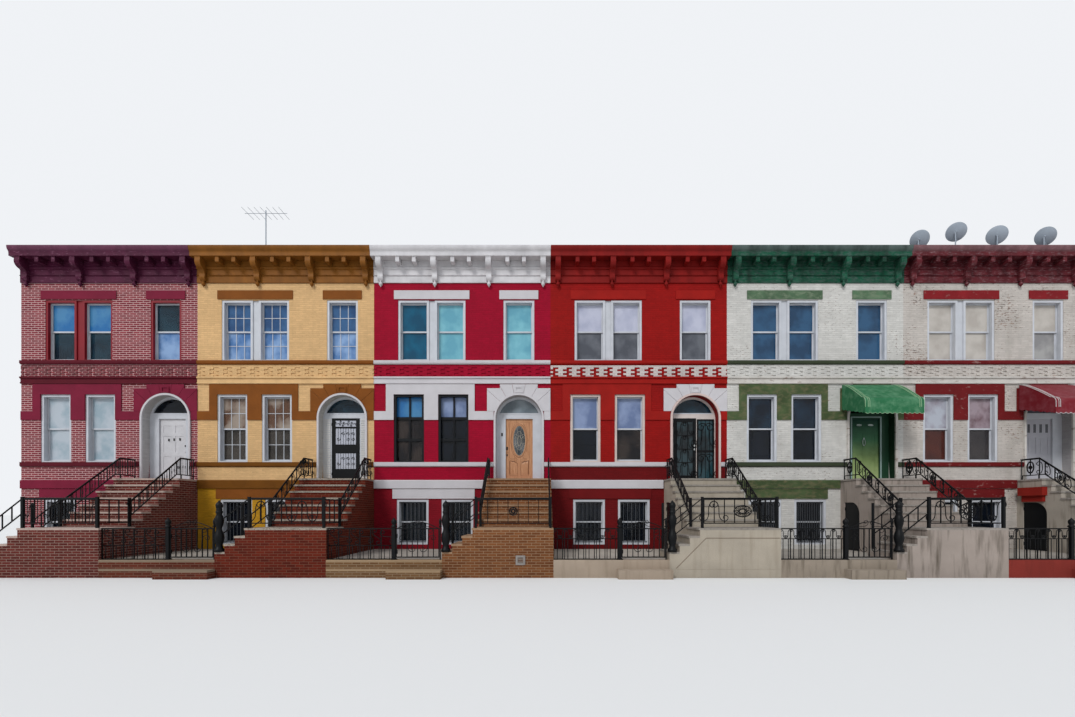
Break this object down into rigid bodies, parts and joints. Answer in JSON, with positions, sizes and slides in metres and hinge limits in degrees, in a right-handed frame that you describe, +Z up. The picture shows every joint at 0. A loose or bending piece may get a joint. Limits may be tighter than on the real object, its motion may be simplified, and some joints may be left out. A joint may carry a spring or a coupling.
{
  "type": "terraced house row",
  "caption": "Terraced brick house row with raised stoops, arched doorways, iron rails and a bracketed cornice; front doors, area gates and under-stoop doors swing on hinges.",
  "frame": {"origin": "middle of the row's footprint at pavement level", "axes": "+X along the row to the right as seen from the street, +Y into the houses, +Z up"},
  "size_m": [34.29, 17.625, 12.33],
  "materials": {
    "front_brick": "painted and bare face brick",
    "common_brick": "common brick",
    "floor_boards": "oiled boards",
    "roof_felt": "rolled roofing",
    "stoop_masonry": "brick and stucco",
    "tread_stone": "worn stone",
    "paving": "broomed concrete",
    "curb_masonry": "weathered",
    "painted_iron": "black gloss paint, worn",
    "painted_joinery": "painted",
    "glazing": "clear",
    "painted_stone": "painted brownstone",
    "cornice_paint": "painted sheet metal",
    "awning_canvas": "coated canvas",
    "dish_metal": "grey paint",
    "painted_door": "painted",
    "iron_door": "black paint"
  },
  "bodies": {
    "row": {"window_bay_walls": "front_brick", "door_piers": "front_brick", "doorway_sill_walls": "front_brick", "door_head_walls": "front_brick", "brick_friezes": "front_brick", "party_walls": "common_brick", "rear_walls": "common_brick", "floors": "floor_boards", "roof_decks": "roof_felt", "stoop_platforms": "stoop_masonry", "stoop_flights": "stoop_masonry", "stoop_landings": "stoop_masonry", "stoop_side_walls": "stoop_masonry", "stoop_door_heads": "stoop_masonry", "stone_treads": "tread_stone", "forecourts": "paving", "front_curbs": "curb_masonry", "area_fences": "painted_iron", "iron_posts": "painted_iron", "window_grilles": "painted_iron", "stair_rails": "painted_iron", "landing_rails": "painted_iron", "front_window_frames": "painted_joinery", "rear_window_frames": "painted_joinery", "window_glass": "glazing", "door_frames": "painted_joinery", "stone_courses": "painted_stone", "window_lintels": "painted_stone", "window_surrounds": "painted_stone", "door_voussoirs": "painted_stone", "arch_mouldings": "painted_stone", "cornices": "cornice_paint", "cornice_brackets": "cornice_paint", "awnings": "awning_canvas", "satellite_dishes": "dish_metal", "roof_antenna": "dish_metal"},
    "house_1_front_door": {"house_1_front_door": "painted_door"},
    "house_1_area_gate": {"house_1_area_gate": "painted_iron"},
    "house_1_stoop_door": {"house_1_stoop_door": "iron_door"},
    "house_2_front_door": {"house_2_front_door": "iron_door"},
    "house_2_area_gate": {"house_2_area_gate": "painted_iron"},
    "house_2_stoop_door": {"house_2_stoop_door": "iron_door"},
    "house_3_front_door": {"house_3_front_door": "painted_door"},
    "house_3_area_gate": {"house_3_area_gate": "painted_iron"},
    "house_3_stoop_door": {"house_3_stoop_door": "iron_door"},
    "house_4_front_door": {"house_4_front_door": "iron_door"},
    "house_4_area_gate": {"house_4_area_gate": "painted_iron"},
    "house_4_stoop_door": {"house_4_stoop_door": "iron_door"},
    "house_5_front_door": {"house_5_front_door": "painted_door"},
    "house_5_area_gate": {"house_5_area_gate": "painted_iron"},
    "house_5_stoop_door": {"house_5_stoop_door": "iron_door"},
    "house_6_front_door": {"house_6_front_door": "painted_door"},
    "house_6_area_gate": {"house_6_area_gate": "painted_iron"},
    "house_6_stoop_door": {"house_6_stoop_door": "iron_door"}
  },
  "joints": [
    {"name": "house_1_front_door_hinge", "type": "hinge", "parent": "row", "child": "house_1_front_door", "pos_m": [-12.916, -4.511, 2.9], "axis": [0, 0, 1], "range_deg": [0, 90]},
    {"name": "house_1_area_gate_hinge", "type": "hinge", "parent": "row", "child": "house_1_area_gate", "pos_m": [-15.4157, -8.377, 0.65], "axis": [0, 0, 1], "range_deg": [0, 90]},
    {"name": "house_1_stoop_door_hinge", "type": "hinge", "parent": "row", "child": "house_1_stoop_door", "pos_m": [-13.444, -5.1093, 0.65], "axis": [0, 0, -1], "range_deg": [0, 90]},
    {"name": "house_2_front_door_hinge", "type": "hinge", "parent": "row", "child": "house_2_front_door", "pos_m": [-7.201, -4.629, 2.9], "axis": [0, 0, -1], "range_deg": [0, 90]},
    {"name": "house_2_area_gate_hinge", "type": "hinge", "parent": "row", "child": "house_2_area_gate", "pos_m": [-9.7007, -8.377, 0.65], "axis": [0, 0, 1], "range_deg": [0, 90]},
    {"name": "house_2_stoop_door_hinge", "type": "hinge", "parent": "row", "child": "house_2_stoop_door", "pos_m": [-7.729, -5.1093, 0.65], "axis": [0, 0, -1], "range_deg": [0, 90]},
    {"name": "house_3_front_door_hinge", "type": "hinge", "parent": "row", "child": "house_3_front_door", "pos_m": [-0.564, -4.511, 2.9], "axis": [0, 0, -1], "range_deg": [0, 90]},
    {"name": "house_3_area_gate_hinge", "type": "hinge", "parent": "row", "child": "house_3_area_gate", "pos_m": [-3.9857, -8.377, 0.65], "axis": [0, 0, 1], "range_deg": [0, 90]},
    {"name": "house_3_stoop_door_hinge", "type": "hinge", "parent": "row", "child": "house_3_stoop_door", "pos_m": [-2.014, -5.1093, 0.65], "axis": [0, 0, -1], "range_deg": [0, 90]},
    {"name": "house_4_front_door_hinge", "type": "hinge", "parent": "row", "child": "house_4_front_door", "pos_m": [4.056, -4.629, 2.9], "axis": [0, 0, -1], "range_deg": [0, 90]},
    {"name": "house_4_area_gate_hinge", "type": "hinge", "parent": "row", "child": "house_4_area_gate", "pos_m": [1.7293, -8.377, 0.65], "axis": [0, 0, 1], "range_deg": [0, 90]},
    {"name": "house_4_stoop_door_hinge", "type": "hinge", "parent": "row", "child": "house_4_stoop_door", "pos_m": [3.701, -5.1093, 0.65], "axis": [0, 0, -1], "range_deg": [0, 90]},
    {"name": "house_5_front_door_hinge", "type": "hinge", "parent": "row", "child": "house_5_front_door", "pos_m": [10.866, -4.511, 2.9], "axis": [0, 0, -1], "range_deg": [0, 90]},
    {"name": "house_5_area_gate_hinge", "type": "hinge", "parent": "row", "child": "house_5_area_gate", "pos_m": [7.4443, -8.377, 0.65], "axis": [0, 0, 1], "range_deg": [0, 90]},
    {"name": "house_5_stoop_door_hinge", "type": "hinge", "parent": "row", "child": "house_5_stoop_door", "pos_m": [9.416, -5.1093, 0.65], "axis": [0, 0, -1], "range_deg": [0, 90]},
    {"name": "house_6_front_door_hinge", "type": "hinge", "parent": "row", "child": "house_6_front_door", "pos_m": [16.581, -4.511, 2.9], "axis": [0, 0, -1], "range_deg": [0, 90]},
    {"name": "house_6_area_gate_hinge", "type": "hinge", "parent": "row", "child": "house_6_area_gate", "pos_m": [13.1593, -8.377, 0.65], "axis": [0, 0, 1], "range_deg": [0, 90]},
    {"name": "house_6_stoop_door_hinge", "type": "hinge", "parent": "row", "child": "house_6_stoop_door", "pos_m": [15.131, -5.1093, 0.65], "axis": [0, 0, -1], "range_deg": [0, 90]}
  ]
}
